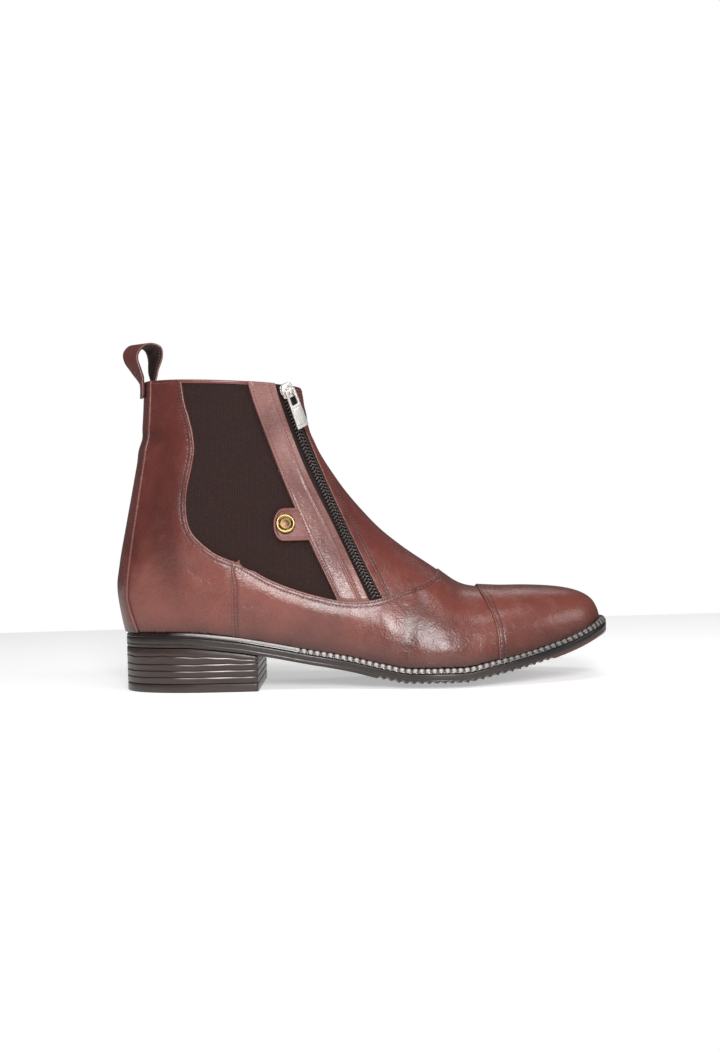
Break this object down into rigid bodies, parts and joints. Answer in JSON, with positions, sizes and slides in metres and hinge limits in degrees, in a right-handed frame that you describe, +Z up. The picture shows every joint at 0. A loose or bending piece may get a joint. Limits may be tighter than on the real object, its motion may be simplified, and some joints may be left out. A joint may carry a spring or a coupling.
{
  "type": "paddock boot",
  "caption": "Ankle-high leather riding boot for the right foot, with a low stacked heel, elastic sides, an outer front zip, a snap tab, a toe cap, a beaded welt and a pull loop.",
  "frame": {"origin": "on the floor under the middle of the heel, on the boot's long axis", "axes": "+X to the toe, +Z up, -Y to the outer side of the right foot, which has the zip"},
  "size_m": [0.2906, 0.097, 0.2067],
  "materials": {
    "upper_leather": "smooth red-brown calf with a soft gloss, darker in the creases and along the seams",
    "tab_leather": "lighter red-brown leather, semi-matt",
    "elastic": "dark brown woven elastic, matt, with fine upright ribs",
    "insole_leather": "tan sock leather, matt",
    "welt": "black-brown edge finish with a high gloss and a milled row of beads",
    "outsole": "dark brown sole with a polished edge and fine ridges under the forefoot",
    "heel_stack": "dark brown stacked heel with scored layers and a polished edge",
    "top_lift": "dark brown rubber, satin",
    "zip_tape": "dark brown woven tape, matt",
    "zip_chain": "dark coil of nylon, glossy",
    "zip_metal": "nickel-plated, polished",
    "brass": "polished brass with a dark recess"
  },
  "bodies": {
    "boot": {"upper": "upper_leather", "toe_cap": "upper_leather", "backstay": "upper_leather", "zip_facing": "upper_leather", "pull_loop": "upper_leather", "snap_tab": "tab_leather", "gusset_outer": "elastic", "gusset_inner": "elastic", "insole": "insole_leather", "welt": "welt", "outsole": "outsole", "heel": "heel_stack", "top_lift": "top_lift", "zip_tape": "zip_tape", "zip_chain": "zip_chain", "zip_slider": "zip_metal", "snap_button": "brass"},
    "pull": {"zip_pull": "zip_metal"}
  },
  "joints": [
    {"name": "pull_swing", "type": "hinge", "parent": "boot", "child": "pull", "pos_m": [0.06238, -0.02295, 0.17344], "axis": [-0.6324, -0.6545, -0.4145], "range_deg": [0, 150]}
  ]
}
